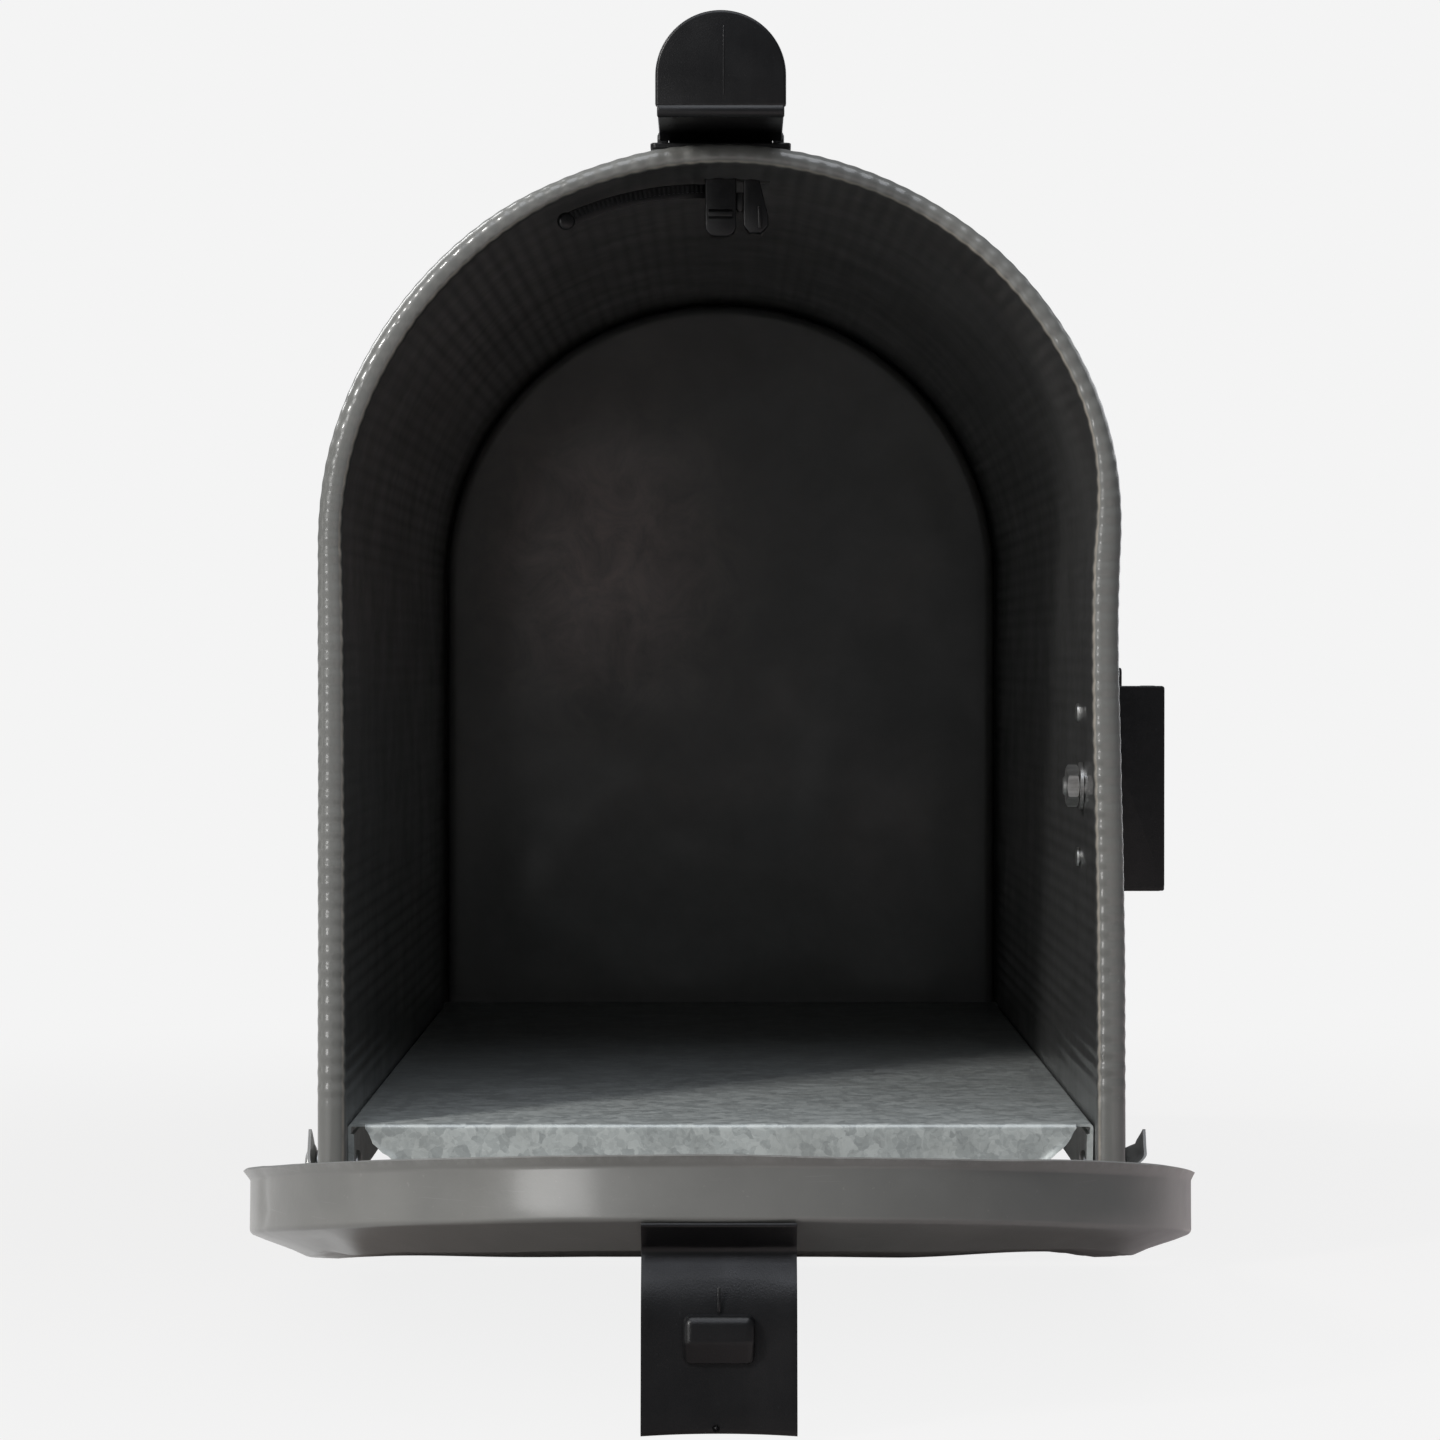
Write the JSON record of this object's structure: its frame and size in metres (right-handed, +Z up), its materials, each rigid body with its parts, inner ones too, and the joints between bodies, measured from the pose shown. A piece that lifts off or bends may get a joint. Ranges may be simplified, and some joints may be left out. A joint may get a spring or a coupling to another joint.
{
  "type": "rural post-mount mailbox",
  "caption": "Arched sheet-steel mailbox with a drop-down front door, roof snap latch, pull strap and side signal flag, skirted to screw onto a mounting board.",
  "frame": {"origin": "on the underside of the floor plate, on the centre line, midway between the four side screw holes", "axes": "+Z up, +X to the right for a person who faces the door, the door at -Y, the closed back at +Y; the door is stored dropped open, the flag down"},
  "size_m": [0.2318, 0.7276, 0.3299],
  "materials": {
    "painted_steel": "satin pewter-grey paint on sheet steel",
    "galvanised_steel": "bare galvanised sheet with zinc spangle",
    "black_plastic": "moulded black plastic, fine satin texture",
    "flag_plastic": "moulded signal-red plastic, satin gloss",
    "zinc_hardware": "zinc-plated fasteners"
  },
  "bodies": {
    "box": {"body_shell": "painted_steel", "rear_panel": "painted_steel", "floor_plate": "galvanised_steel", "hinge_rivets": "zinc_hardware", "hinge_spacers": "zinc_hardware", "hinge_washers": "zinc_hardware", "latch_base": "black_plastic", "latch_tie": "black_plastic", "flag_bracket": "black_plastic", "flag_bracket_rivets": "zinc_hardware", "flag_pivot_bolt": "zinc_hardware", "flag_spring_washer": "zinc_hardware", "flag_nut_washer": "zinc_hardware", "flag_nut": "zinc_hardware"},
    "door": {"door_panel": "painted_steel", "door_handle": "black_plastic", "handle_rivets": "zinc_hardware", "handle_backing_plate": "zinc_hardware"},
    "latch": {"latch_tongue": "black_plastic"},
    "signal_flag": {"flag": "flag_plastic"}
  },
  "joints": [
    {"name": "door_hinge", "type": "hinge", "parent": "box", "child": "door", "pos_m": [0, -0.211, -0.0115], "axis": [1, 0, 0], "range_deg": [-82.3, 7.7]},
    {"name": "latch_flex", "type": "hinge", "parent": "box", "child": "latch", "pos_m": [0, -0.197, 0.2643], "axis": [-1, 0, 0], "range_deg": [0, 12], "stiffness_Nm_per_rad": 1.5},
    {"name": "flag_pivot", "type": "hinge", "parent": "box", "child": "signal_flag", "pos_m": [0.1106, -0.184, 0.09], "axis": [1, 0, 0], "range_deg": [0, 90]}
  ]
}
